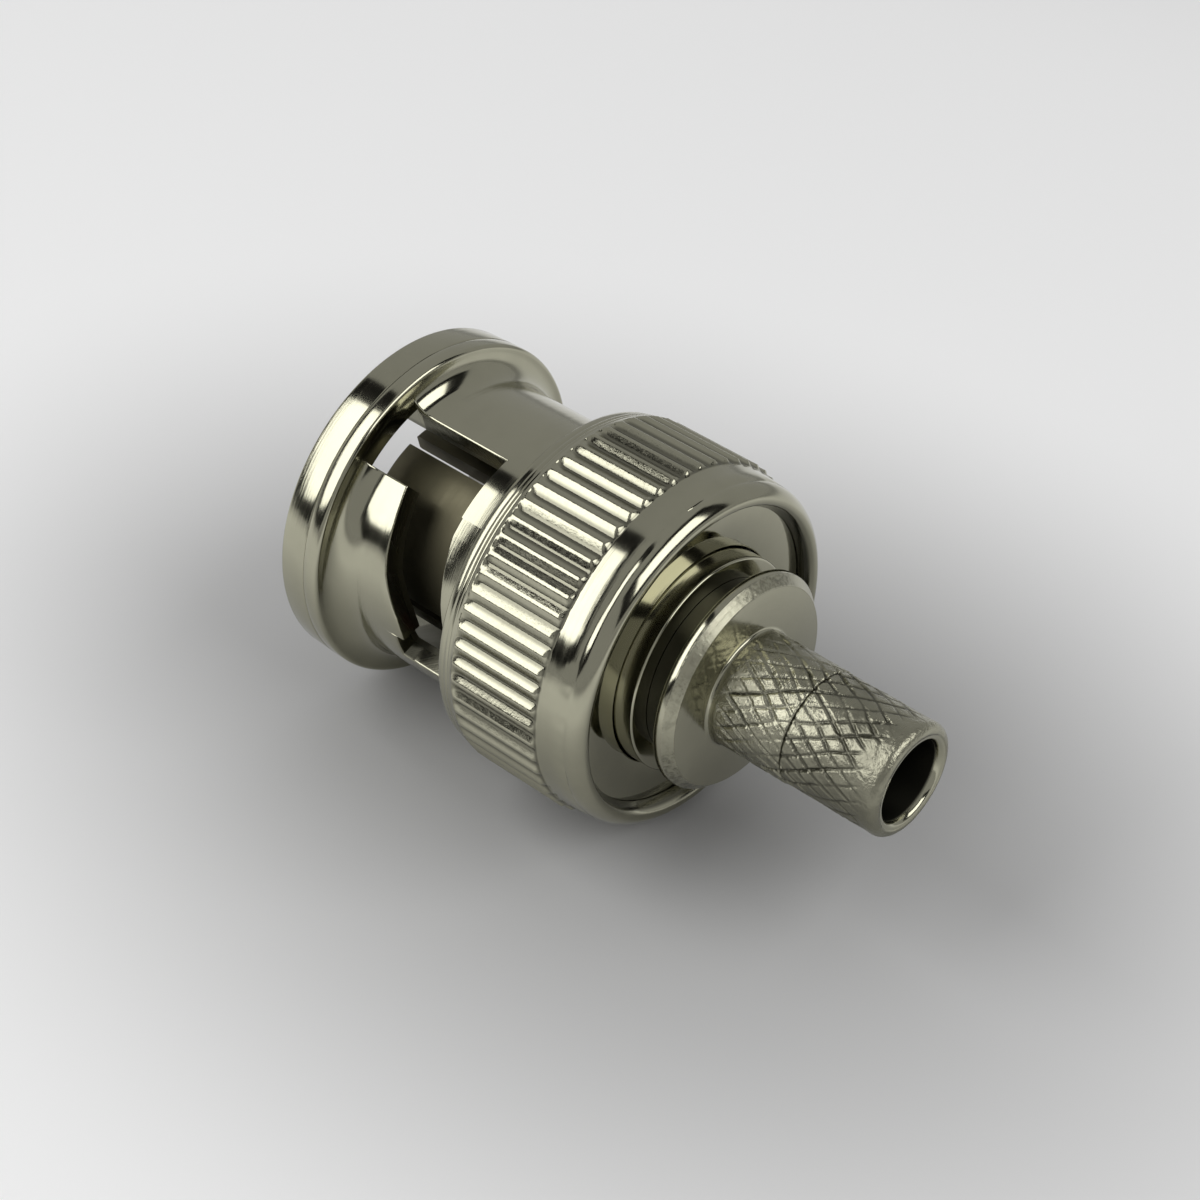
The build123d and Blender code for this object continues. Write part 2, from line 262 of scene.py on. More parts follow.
class Value:
    """A number in a material. Arithmetic on it adds Math nodes, and either side may be a plain number."""

    def __init__(self, finish, socket):
        self.finish = finish
        self.socket = socket

    def _math(self, operation, first, second):
        return self.finish.node("ShaderNodeMath", {"operation": operation}, {0: first, 1: second})

    def __add__(self, other):
        return self._math("ADD", self, other)

    def __radd__(self, other):
        return self._math("ADD", other, self)

    def __sub__(self, other):
        return self._math("SUBTRACT", self, other)

    def __rsub__(self, other):
        return self._math("SUBTRACT", other, self)

    def __mul__(self, other):
        return self._math("MULTIPLY", self, other)

    def __rmul__(self, other):
        return self._math("MULTIPLY", other, self)

    def __pow__(self, other):
        return self._math("POWER", self, other)


class Finish:
    """A material's nodes, with the plug's own coordinates ready to use."""

    def __init__(self, name):
        self.material = bpy.data.materials.new(name)
        self.material.use_nodes = True
        self.tree = self.material.node_tree
        self.tree.nodes.clear()

    def node(self, kind, settings=None, inputs=None, output=0):
        """Adds a node, sets its settings first and then its inputs, and gives its output, or several."""
        made = self.tree.nodes.new(kind)
        for name, setting in (settings or {}).items():
            setattr(made, name, setting)
        for name, value in (inputs or {}).items():
            if isinstance(value, Value):
                self.tree.links.new(value.socket, made.inputs[name])
            else:
                made.inputs[name].default_value = value
        if isinstance(output, tuple):
            return tuple(Value(self, made.outputs[i]) for i in output)
        return Value(self, made.outputs[output])

    def point(self):
        """The point that is shaded, in the piece's own coordinates."""
        return self.node("ShaderNodeTexCoord", output="Object")

    def parts(self, vector):
        return self.node("ShaderNodeSeparateXYZ", None, {0: vector}, output=(0, 1, 2))

    def places(self):
        """Place along the axis and distance from it, in millimetres, and the point itself."""
        point = self.point()
        x, y, z = self.parts(point)
        return x * (1.0 / MM), (y * y + z * z) ** 0.5 * (1.0 / MM), point

    def vector(self, x, y, z):
        return self.node("ShaderNodeCombineXYZ", None, {0: x, 1: y, 2: z})

    def noise(self, vector, scale, detail=2.0, rough=0.5):
        return self.node(
            "ShaderNodeTexNoise", {"noise_dimensions": "3D"},
            {"Vector": vector, "Scale": scale, "Detail": detail, "Roughness": rough},
        )

    def ease(self, value, start, end):
        """Smooth change from zero to one as the value goes from start to end, which may be the lower one."""
        return self.node(
            "ShaderNodeMapRange", {"interpolation_type": "SMOOTHSTEP"},
            {"Value": value, "From Min": start, "From Max": end, "To Min": 0.0, "To Max": 1.0},
        )

    def tint(self, share, first, second):
        """Colour between two colours, each given as three numbers or as a socket."""
        first, second = (c if isinstance(c, Value) else (*c, 1.0) for c in (first, second))
        return self.node("ShaderNodeMix", {"data_type": "RGBA"}, {0: share, 6: first, 7: second}, output=2)

    def bump(self, height, distance, under=None):
        """Normal of a height that is given as a share of distance, in metres, on top of another normal."""
        inputs = {"Height": height, "Distance": distance, "Strength": 1.0}
        if under is not None:
            inputs["Normal"] = under
        return self.node("ShaderNodeBump", None, inputs)

    def shade(self, color, roughness, normal, metallic=0.0, **constants):
        """Ends the material in one shader. Constants go on the shader's own sockets."""
        inputs = {"Base Color": color, "Roughness": roughness, "Metallic": metallic}
        if normal is not None:
            inputs["Normal"] = normal
        inputs.update({name.replace("_", " "): value for name, value in constants.items()})
        shader = self.node("ShaderNodeBsdfPrincipled", None, inputs)
        self.node("ShaderNodeOutputMaterial", None, {"Surface": shader}, output=())
        return self.material


def changed(color, red, green, blue):
    """Colour with its red, green and blue multiplied."""
    return color[0] * red, color[1] * green, color[2] * blue


def darker(color, share):
    return changed(color, share, share, share)


class NickelLayers:
    """Bright nickel over turned brass: turning lines round the axis, a faint unevenness of the plate and thin
    stains. Zones of a piece change the tone, the roughness and the normal before the material is ended.
    polish is the roughness, and lines and peel are the strength of the turning lines and of the unevenness.
    """

    def __init__(self, name, polish, lines, peel):
        self.color = tuple(bpy.context.scene.plug_finish.nickel)
        self.finish = finish = Finish(name)
        self.x, self.r, self.point = finish.places()
        around_axis = finish.node("ShaderNodeVectorMath", {"operation": "MULTIPLY"},
                                  {0: self.point, 1: (0.0, 130.0, 130.0)})
        along = finish.vector((self.x + self.r) * 7.0, 0.0, 0.0)
        streaks = finish.node("ShaderNodeVectorMath", {"operation": "ADD"}, {0: around_axis, 1: along})
        turned = finish.noise(streaks, 1.0, 4.0, 0.7)
        swell = finish.noise(self.point, 700.0, 2.0, 0.5)
        self.stain = finish.noise(self.point, 260.0, 4.0, 0.6)
        self.crumbs = finish.noise(self.point, 5200.0, 4.0, 0.70)
        self.rough = (polish + 0.04 * finish.ease(self.stain, 0.45, 0.75)
                      + 0.05 * finish.ease(turned, 0.45, 0.75))
        self.tone = finish.tint(finish.ease(self.stain, 0.32, 0.72), self.color, darker(self.color, 0.90))
        self.normal = finish.bump(1.2 * lines * turned + peel * swell + 0.02 * self.crumbs, 3.0e-6)

    def span(self, value, low, high, soft):
        """One between low and high, zero outside, with soft ends."""
        return self.finish.ease(value, low - soft, low) * self.finish.ease(value, high + soft, high)

    # Recolours a zone. It is used both for real tones and for painted shade.
    def recoloured(self, zone, color):
        self.tone = self.finish.tint(zone, self.tone, color)

    def darkened(self, zone, share):
        self.recoloured(zone, darker(self.color, share))

    def roughened(self, height, distance):
        self.normal = self.finish.bump(height, distance, self.normal)

    def ended(self):
        return self.finish.shade(self.tone, self.rough, self.normal, metallic=1.0)


def washer_nickel(name):
    """Nickel of the washer, polished nearly to a mirror."""
    return NickelLayers(name, 0.05, 0.2, 0.4).ended()


def nut_nickel(name, nut):
    """Nickel of the nut: torn crests on the knurl with painted shade in its roots, a dull bore darkened by
    painted shade, and painted shade on the slot walls and the lip.
    """
    plate = NickelLayers(name, 0.11, 1.6, 1.0)
    x, r, ease = plate.x, plate.r, plate.finish.ease
    crest, socket = mm(nut.knurl_radius), mm(nut.socket_radius)
    neck, chamber = mm(nut.neck_radius), mm(nut.chamber_radius)
    knurl = plate.span(x, KNURL_START, KNURL_END, 0.06) * ease(r, crest - 0.46, crest - 0.36)
    # Painted shade in the roots of the knurl's flutes.
    roots = knurl * ease(r, crest - 0.07, crest - 0.15)
    # Painted shade inside the socket bore, which is also made rougher.
    inside = ease(r, socket + 0.30, socket + 0.12)
    # Painted shade on the walls of the slots cut through the neck.
    walls = (plate.span(x, mm(nut.window_start) + 0.25, NECK_END - 0.23, 0.1)
             * ease(r, neck - 0.03, neck - 0.09))
    # Painted shade on the lip at the shoulder inside the chamber.
    lip = (ease(x, NUT_SHOULDER - 0.05, NUT_SHOULDER + 0.05)
           * ease(r, chamber + 0.12, chamber + 0.04))
    # These four darkenings are painted shade: in the knurl's roots, in the bore, on the slot walls and on the
    # lip.
    plate.darkened(roots, 0.45)
    plate.darkened(inside, 0.60)
    plate.darkened(walls, 0.38)
    plate.darkened(lip, 0.30)
    grain = 0.02 + 0.10 * ease(plate.crumbs, 0.45, 0.65)
    plate.rough = plate.rough + knurl * grain + 0.10 * inside + 0.14 * walls
    plate.roughened(knurl * plate.crumbs, 0.9e-5)
    return plate.ended()


def body_nickel(name):
    """Nickel of the plug body: bright on the hub; on the contact sleeve, which lies inside the nut, dull and
    brownish with tarnish and darker still with painted shade.
    """
    plate = NickelLayers(name, 0.12, 0.6, 0.6)
    sleeve = plate.finish.ease(plate.x, BODY_FLANGE[0] + 0.13, BODY_FLANGE[0] - 0.07)
    # The sleeve inside the nut: brownish tarnish, darkened further as painted shade.
    plate.recoloured(sleeve, changed(plate.color, 0.26, 0.245, 0.21))
    plate.rough = plate.rough + sleeve * (0.24 + 0.14 * plate.finish.ease(plate.stain, 0.35, 0.65))
    plate.roughened(0.5 * sleeve * plate.crumbs, 5.0e-6)
    return plate.ended()


def stem_nickel(name, stem):
    """Nickel of the stem: a torn chamfer, painted shade in the groove in front of the disc, a dull battered
    barrel with painted shade in its knurl grooves, and a bore made black by painted shade.
    """
    plate = NickelLayers(name, 0.12, 0.8, 0.8)
    finish, x, r, ease = plate.finish, plate.x, plate.r, plate.finish.ease
    disc, barrel, bore = mm(stem.disc_radius), mm(stem.barrel_radius), mm(stem.bore_radius)
    end, face_end = mm(STEM_BOX[1].x), BARREL_FACE[1]
    torn = finish.noise(finish.vector(x * 3.0, r * 3.0, 0.0), 9.0, 3.0, 0.7)
    dents = finish.noise(plate.point, 1900.0, 4.0, 0.65)
    edge = plate.span(x, DISC_REAR - 0.35, DISC_REAR - 0.03, 0.05) * ease(r, disc - 0.38, disc - 0.33)
    scuffs = edge * ease(plate.crumbs, 0.42, 0.60) * ease(plate.stain, 0.42, 0.60)
    # Painted shade in the recess in front of the disc.
    groove = (plate.span(x, GROOVE_START - 0.01, DISC_FRONT - 0.03, 0.02)
              * ease(r, GROOVE_RADIUS + 0.65, GROOVE_RADIUS + 0.55))
    sleeve = ease(x, DISC_REAR + 0.02, DISC_REAR + 0.30) * ease(r, barrel - 0.45, barrel - 0.35)
    # Painted shade in the diamond knurl's grooves.
    groove_shade = sleeve * ease(r, barrel - 0.052, barrel - 0.080) * ease(x, face_end, face_end - 0.2)
    # Painted shade that makes the cable bore nearly black.
    inside = ease(r, bore + 0.10, bore + 0.02) * ease(x, end - 0.18, end - 0.33)
    dulled = finish.tint(ease(plate.stain, 0.3, 0.65), darker(plate.color, 0.84), darker(plate.color, 0.50))
    plate.recoloured(sleeve, dulled)
    plate.darkened(groove_shade, 0.30)
    plate.darkened(scuffs, 0.50)
    plate.darkened(groove, 0.16)
    plate.darkened(inside, 0.03)
    plate.rough = (plate.rough + 0.16 * edge + sleeve * (0.10 + 0.16 * ease(plate.stain, 0.3, 0.7))
                   + 0.25 * groove + 0.35 * inside)
    grain = 1.1 * plate.crumbs + 3.2 * dents
    plate.roughened(edge * (torn * 0.5 + plate.crumbs) + sleeve * grain, 2.2e-5)
    return plate.ended()


def gold_plate(name):
    """Soft gold over a turned pin: fine lines round the axis and slightly redder worn places."""
    color = tuple(bpy.context.scene.plug_finish.gold)
    finish = Finish(name)
    x, r, point = finish.places()
    turned = finish.noise(finish.vector(x, r, 0.0), 20.0, 3.0, 0.7)
    worn = finish.ease(finish.noise(point, 900.0, 4.0), 0.4, 0.7)
    tone = finish.tint(worn, color, changed(color, 0.95, 0.86, 0.75))
    return finish.shade(tone, 0.16 + 0.12 * worn, finish.bump(turned, 1.2e-6), metallic=1.0)


def spring_steel(name):
    """Rolled and hardened steel strip: long rolling streaks across the washer and a dull blue-grey skin."""
    color = tuple(bpy.context.scene.plug_finish.steel)
    finish = Finish(name)
    x, y, z = finish.parts(finish.point())
    streak = finish.noise(finish.vector(x * 4000.0, y * 9000.0, z * 250.0), 1.0, 4.0, 0.6)
    tone = finish.tint(finish.ease(streak, 0.35, 0.7), color, changed(color, 0.8, 0.85, 0.95))
    return finish.shade(tone, 0.24 + 0.16 * streak, finish.bump(streak, 2.0e-6), metallic=1.0)


def white_insulator(name):
    """Waxy white machined plastic: soft turning lines and a slightly warmer cloudiness."""
    color = tuple(bpy.context.scene.plug_finish.white)
    finish = Finish(name)
    x, r, point = finish.places()
    turned = finish.noise(finish.vector(x, r, 0.0), 9.0, 3.0, 0.65)
    cloud = finish.ease(finish.noise(point, 380.0, 3.0), 0.3, 0.75)
    tone = finish.tint(cloud, color, changed(color, 0.96, 0.94, 0.90))
    return finish.shade(tone, 0.42 + 0.14 * turned, finish.bump(turned, 4.0e-6))


def seal_rubber(name):
    """Moulded silicone rubber: matt, with a fine grain and paler rubbed places."""
    color = tuple(bpy.context.scene.plug_finish.rubber)
    finish = Finish(name)
    point = finish.point()
    grain = finish.noise(point, 6000.0, 4.0, 0.6)
    rubbed = finish.ease(finish.noise(point, 900.0, 3.0), 0.5, 0.8)
    tone = finish.tint(rubbed, color, changed(color, 1.2, 1.4, 1.5))
    return finish.shade(tone, 0.58 + 0.2 * grain, finish.bump(grain, 6.0e-6))


def arc(centre, radius, start, end, steps):
    """Points (x + radius cos a, r + radius sin a) about a centre (x, r), for angles a in degrees."""
    a = np.radians(np.linspace(start, end, steps + 1))
    return np.stack([centre[0] + radius * np.cos(a), centre[1] + radius * np.sin(a)], 1)


def eased(points, reach, steps=3):
    """Closed profile with rounded corners: each corner c becomes the curve (1-t)^2 p + 2t(1-t) c + t^2 q,
    where p and q lie on its two sides at the given reach, or at 0.4 of the shorter side.
    """
    points = np.asarray(points, float)
    back, ahead = np.roll(points, 1, 0) - points, np.roll(points, -1, 0) - points
    back_l, ahead_l = np.linalg.norm(back, axis=1), np.linalg.norm(ahead, axis=1)
    reach = np.minimum(reach, 0.4 * np.minimum(back_l, ahead_l))
    reach = np.where(points[:, 1] > 1e-9, reach, 0.0)
    p = points + back * (reach / back_l)[:, None]
    q = points + ahead * (reach / ahead_l)[:, None]
    t = np.linspace(0.0, 1.0, steps + 1)[None, :, None]
    curve = (1 - t) ** 2 * p[:, None] + 2 * t * (1 - t) * points[:, None] + t ** 2 * q[:, None]
    return curve.reshape(-1, 2)


def around(x, r, angles):
    """Grid of points (x, r cos a, r sin a) in metres, from x and r in millimetres, columns by rows."""
    a = np.radians(angles)[:, None]
    return np.stack([x + 0 * a, r * np.cos(a), r * np.sin(a)], -1) * MM


def even_angles(count):
    """Angles in degrees of a number of even columns round the axis."""
    return np.arange(count) * 360.0 / count


def turn_between(first, second):
    """Angle between each of the first angles and each of the second, the short way round."""
    return np.abs((first[:, None] - second + 180.0) % 360.0 - 180.0)


def marked_angles(count, marks, clear):
    """Angles of even columns and of marks, without the even ones that lie within clear of a mark."""
    even = even_angles(count)
    return np.sort(np.concatenate([even[turn_between(even, marks).min(1) > clear], marks]))


def cell_middles(angles):
    """Angle halfway from each column to the next."""
    return angles + ((np.roll(angles, -1) - angles) % 360.0) / 2


def ring_quads(columns, rows):
    """Quads of a grid that closes on itself both ways. Point (k, i) has the number k * rows + i."""
    k, i = np.arange(columns)[:, None], np.arange(rows)[None, :]
    k1, i1 = (k + 1) % columns, (i + 1) % rows
    return np.stack([k * rows + i, k * rows + i1, k1 * rows + i1, k1 * rows + i], -1)


def slotted_quads(columns, rows, outer, inner, cut, open_front=False):
    """Quads of a turned wall with slots cut through it.

    outer and inner are the rows of the wall's two skins, in pairs from front to rear. cut[k, m] is true
    where a slot takes the cell between columns k and k + 1 and between pairs m and m + 1. Both skins lose
    that cell, and each of its sides that borders a whole cell gets a quad from skin to skin. With open_front
    the slot also takes the face between the first pair.
    """
    keep = np.ones((columns, rows), bool)
    keep[:, outer[:-1]] = ~cut
    keep[:, inner[1:]] = ~cut
    padded = np.pad(cut, ((0, 0), (1, 1)))
    across = padded[:, 1:] != padded[:, :-1]
    if open_front:
        across[:, 0] = False
        keep[:, inner[0]] = ~cut[:, 0]
    along = cut != np.roll(cut, 1, 0)
    k, m = np.nonzero(across)
    k1 = (k + 1) % columns
    k, k1 = k * rows, k1 * rows
    rims = np.stack([k + outer[m], k1 + outer[m], k1 + inner[m], k + inner[m]], 1)
    k, m = np.nonzero(along)
    k = k * rows
    sides = np.stack([k + outer[m], k + outer[m + 1], k + inner[m + 1], k + inner[m]], 1)
    return np.concatenate([ring_quads(columns, rows)[keep], rims, sides])


def make_piece(name, points, quads, finish, body, node, sharp=38.0, level=True):
    """Mesh object of a grid's points and quads, in place of a node.

    Points that coincide become one, quads that lose a corner become triangles, and faces that lose two are
    left out.
    """
    points = points.reshape(-1, 3)
    cells = np.round(points / 2e-8).astype(np.int64)
    _, first, same = np.unique(cells, axis=0, return_index=True, return_inverse=True)
    quads = same.reshape(-1)[quads.reshape(-1, 4)]
    repeated = quads == np.roll(quads, -1, 1)
    sides = 4 - repeated.sum(1)
    whole = (sides >= 3) & (quads[:, 0] != quads[:, 2]) & (quads[:, 1] != quads[:, 3])
    corners = quads[whole][~repeated[whole]]
    used, corners = np.unique(corners, return_inverse=True)
    places = points[first][used]
    starts = np.concatenate([[0], np.cumsum(sides[whole])[:-1]])
    mesh = bpy.data.meshes.new(name)
    mesh.vertices.add(len(places))
    mesh.vertices.foreach_set("co", places.astype(np.float32).ravel())
    mesh.loops.add(len(corners))
    mesh.loops.foreach_set("vertex_index", corners.astype(np.int32))
    mesh.polygons.add(len(starts))
    mesh.polygons.foreach_set("loop_start", starts.astype(np.int32))
    mesh.update(calc_edges=True)
    mesh.validate()
    shell = bmesh.new()
    shell.from_mesh(mesh)
    bmesh.ops.recalc_face_normals(shell, faces=shell.faces)
    shell.to_mesh(mesh)
    shell.free()
    mesh.polygons.foreach_set("use_smooth", np.ones(len(mesh.polygons), bool))
    mesh.set_sharp_from_angle(angle=math.radians(sharp))
    mesh.materials.append(finish)
    piece = bpy.data.objects.new(name, mesh)
    bpy.context.scene.collection.objects.link(piece)
    if level:
        shading = piece.modifiers.new("level_shading", "WEIGHTED_NORMAL")
        shading.keep_sharp = True
        shading.weight = 50
    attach(piece, body)
    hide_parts(node)
    return piece


def make_turned(name, profile, columns, finish, body, node):
    """Piece that is one closed profile of (x, r) points, turned about the axis."""
    profile = np.asarray(profile, float)
    points = around(profile[None, :, 0], profile[None, :, 1], even_angles(columns))
    quads = ring_quads(columns, len(profile))
    return make_piece(name, points, quads, finish, body, node)


def wander(angles, seed, reach):
    """Uneven line round the axis: a sum of sines of whole numbers of waves, from about -reach to reach, with
    phases that the seed scatters.
    """
    waves = np.array([3, 7, 11, 17, 29, 43, 67])
    phases = np.modf(np.sin(waves * 12.9898 + seed * 78.233) * 43758.5453)[0] * math.tau
    share = 1.0 / np.sqrt(waves)
    return reach * (np.sin(np.radians(angles)[:, None] * waves + phases) * share).sum(1) / share.sum() * 2.0


def slot_angles(nut):
    """Angles in degrees of the first slot: its entry's start and end, the cam's top and the slot's end."""
    entry, half = math.degrees(nut.entry_angle), math.degrees(nut.entry_width) / 2
    return entry - half, entry + half, math.degrees(nut.ramp_end), math.degrees(nut.slot_end)


def first_slot(angles):
    """Angles that lie round the second slot, turned back by half a turn to lie round the first."""
    return (angles - 60.0) % 180.0 + 60.0


def slot_edges(nut, angles):
    """Front and rear edge of the bayonet slots at each angle, as places along the axis.

    The front edge is the cam: nearly level from the entry, steeper towards its top, then a drop into the
    detent. Between the slots both edges run straight on to the next one's start.
    """
    start, _, top, end = slot_angles(nut)
    level, rear_level = ENTRY_EDGES
    detent, rear_detent = DETENT_EDGES
    front = [(end - 180, detent), (start, level), *CAM_RAMP, (top - 3, CAM_TOP - 0.02),
             (top - STEP_ANGLE, CAM_TOP), (top + STEP_ANGLE, detent), (end, detent), (start + 180, level)]
    rear = [(end - 180, rear_detent), (start, rear_level), *REAR_RAMP, (top, rear_detent),
            (end, rear_detent), (start + 180, rear_level)]
    a = first_slot(angles)
    return np.interp(a, *zip(*front)), np.interp(a, *zip(*rear))


def edge_distance(nut, angles, x):
    """Distance in millimetres, on the unrolled neck, from each grid point to the outline of its slot."""
    radius, window = mm(nut.neck_radius), mm(nut.window_start)
    start, land, _, end = slot_angles(nut)
    way = np.linspace(start, end, 240)
    cam = np.concatenate([[land], np.linspace(land + STEP_ANGLE, end, 200)])
    rear_edge = np.stack([way, slot_edges(nut, way)[1]], 1)
    front_edge = np.stack([cam, slot_edges(nut, cam)[0]], 1)
    outline = np.concatenate([[[start, window]], rear_edge, front_edge[::-1], [[land, window]]])
    outline[:, 0] = np.radians(outline[:, 0]) * radius
    first, step = outline[:-1], np.diff(outline, axis=0)
    a = np.radians(first_slot(angles)) * radius
    nearest = np.full(x.shape, np.inf)
    for place, move in zip(first, step):
        over, up = a[:, None] - place[0], x - place[1]
        t = np.clip((over * move[0] + up * move[1]) / (move @ move), 0.0, 1.0)
        nearest = np.minimum(nearest, np.hypot(over - t * move[0], up - t * move[1]))
    return nearest


def nut_angles(nut):
    """Angles of the nut's columns: 14 to each flute, with closer ones where a slot begins, steps or ends."""
    start, land, top, end = slot_angles(nut)
    near = np.array([0.2, 0.5, 0.9])
    step = np.array([-STEP_ANGLE, STEP_ANGLE])
    marks = np.concatenate([
        start - near, start + step, land + step, land + near, top - near, top + step, [end], end + near,
    ])
    return marked_angles(nut.flutes * 14, np.concatenate([marks, marks + 180.0]) % 360.0, 0.12)


def flute_depth(nut, angles):
    """Depth of the straight knurl at each angle: V grooves with flat walls, narrow crests and narrow roots,
    and a little unevenness from tooth to tooth.
    """
    root, crest = 0.08, 0.895
    turn = angles * nut.flutes / 360.0
    flute = np.round(turn)
    depth = np.clip((crest - np.abs(turn - flute) * 2.0) / (crest - root), 0.0, 1.0)
    return mm(nut.flute_depth) * depth * (1.0 + 0.10 * wander(flute * 360.0 / nut.flutes, 5, 1.0))


def flange_rows(nut, floor):
    """Rows (x, r) of the nut's front face and of its flange, which has a fine crease round it."""
    flange, crease = mm(nut.flange_radius), 1.24
    dips = ((-0.07, 0.008), (-0.03, 0.014), (0.0, 0.034), (0.03, 0.024), (0.07, 0.006), (0.26, 0.0))
    rows = [(0.0, floor + 0.10), (0.0, flange - 0.30), *arc((0.12, flange - 0.17), 0.12, 180, 90, 4)]
    rows += [(crease + on, flange - dip) for on, dip in dips]
    return rows + list(arc((1.78, flange - 0.17), 0.17, 90, 0, 5))


def knurl_rows(nut, angles):
    """Rows (x, r) of the bevel with its turned lines and of the straight knurl, down to the smooth ring."""
    crest, ring = mm(nut.knurl_radius), mm(nut.ring_radius)

    def bevel(x):
        return crest - 0.23 + 0.20 * (x - NECK_END) / (KNURL_START - NECK_END)

    corner = NECK_END + 0.10
    rows = [(NECK_END, bevel(NECK_END) - 0.10), *arc((corner, bevel(corner) - 0.10), 0.10, 170, 105, 3)]
    for line, deep in ((8.78, 0.022), (8.98, 0.030), (9.15, 0.016)):
        before, after = line - 0.05, line + 0.04
        rows += [(before, bevel(before)), (line, bevel(line) - deep), (after, bevel(after))]
    rows += [(KNURL_START - 0.02, bevel(KNURL_START - 0.02))]
    flute = flute_depth(nut, angles)
    ends = wander(angles, 2, 0.05)
    for on in (0.0, 0.03, 0.07, 0.12, 0.20, 0.32, 0.46, 2.10, 3.60, 3.80, 3.89):
        cut = math.sqrt(1.0 - (1.0 - min(1.0, on / 0.44)) ** 2)
        near = max(0.0, 1.0 - abs(on - 0.18) / 0.3)
        chamfer = 0.03 * max(0.0, 1.0 - on / 0.08) ** 2
        rows += [(KNURL_START + on + ends * near, crest - chamfer - flute * cut)]
    return rows + [(KNURL_END - 0.04, ring + 0.03 + (crest - 0.03 - ring - flute).clip(0.0) * 0.55)]


def rim_rows(nut, angles):
    """Rows (x, r) of the smooth ring, the rolled rim with its ragged edge, the lip, chamber and shoulder."""
    ring, chamber, rim = mm(nut.ring_radius), mm(nut.chamber_radius), mm(nut.length)
    bore = mm(nut.socket_radius)
    ragged = wander(angles, 9, 0.045)
    return [
        (KNURL_END + 0.04, ring + 0.012), (KNURL_END + 0.10, ring), (KNURL_END + 0.60, ring - 0.035),
        (rim - 0.74 + ragged, ring - 0.088), (rim - 0.70 + ragged, ring - 0.120),
        *arc((rim - 0.71, ring - 0.90), 0.80, 82, 30, 7),
        (rim - 0.004, ring - 0.55), (rim, ring - 0.60), (rim, ring - 0.70), (rim - 0.03, ring - 0.77),
        (rim - 0.13, ring - 0.85), (rim - 0.50, chamber - 0.10), (rim - 0.54, chamber - 0.105),
        (rim - 0.55, chamber - 0.09), (rim - 0.55, chamber), (NUT_SHOULDER, chamber),
        (NUT_SHOULDER, bore + 0.10), (NUT_SHOULDER + 0.10, bore),
    ]


def nut_surface(nut):
    """Coupling nut: a closed profile turned about the axis, cut by the knurl's flutes and two bayonet slots.

    The profile runs from the front face over the flange, hollow, neck, knurl and rim, and back through the
    chamber and the bore. On the neck its rows follow the slots' edges, and the bore has a row for each, so
    that slotted_quads can cut the wall. In an entry channel the bore in front of the slot lies at the
    channel's floor.
    """
    angles = nut_angles(nut)
    start, land, _, end = slot_angles(nut)
    a = first_slot(angles)
    in_entry = (a > start) & (a < land)
    neck, bore = mm(nut.neck_radius), mm(nut.socket_radius)
    floor = np.where(in_entry, mm(nut.channel_radius), bore)
    front, rear = slot_edges(nut, angles)
    edge_steps = 0.0, 0.02, 0.045, 0.07

    rows = flange_rows(nut, floor)
    hollow = HOLLOW_MIDDLE, neck + HOLLOW_RADIUS
    window = 180 + math.degrees(math.acos((HOLLOW_MIDDLE - mm(nut.window_start)) / HOLLOW_RADIUS))
    rows += list(arc(hollow, HOLLOW_RADIUS, 188, window, 2))
    first_pair = len(rows) - 1
    rows += list(arc(hollow, HOLLOW_RADIUS, window, 270, 8)[1:])
    rows += [(HOLLOW_MIDDLE + (front - HOLLOW_MIDDLE) * share, neck) for share in (0.35, 0.7)]
    rows += [(front - back, neck) for back in reversed(edge_steps)]
    front_row = len(rows) - 1
    rows += [(front + (rear - front) * share, neck) for share in (0.25, 0.5, 0.75)]
    rear_row = len(rows)
    rows += [(rear + on, neck) for on in edge_steps]
    rows += [(NECK_END - 0.07, neck), (NECK_END, neck + 0.05)]
    last_pair = len(rows) - 2
    rows += knurl_rows(nut, angles) + rim_rows(nut, angles)

    outer = np.arange(first_pair, last_pair + 1)
    inner = len(rows) + (last_pair - outer)
    rows += [(rows[i][0], np.where(in_entry & (i == first_pair), floor, bore)) for i in outer[::-1]]
    rows += [(1.0, floor), (0.10, floor)]

    x = np.stack([np.broadcast_to(row[0], angles.shape) for row in rows], 1).astype(float)
    r = np.stack([np.broadcast_to(row[1], angles.shape) for row in rows], 1).astype(float)
    edge = mm(nut.edge)
    near = np.clip(edge - edge_distance(nut, angles, x[:, outer]), 0.0, edge)
    r[:, outer] -= np.where(in_entry[:, None], 0.0, edge - np.sqrt(edge ** 2 - near ** 2))

    middle = first_slot(cell_middles(angles))
    entry_cell = (middle > start - STEP_ANGLE) & (middle < land + STEP_ANGLE)
    cam_cell = (middle > land + STEP_ANGLE) & (middle < end)
    m = outer[:-1]
    cut = (entry_cell[:, None] | cam_cell[:, None] & (m >= front_row)) & (m < rear_row)
    quads = slotted_quads(len(angles), len(rows), outer, inner, cut)
    return around(x, r, angles), quads


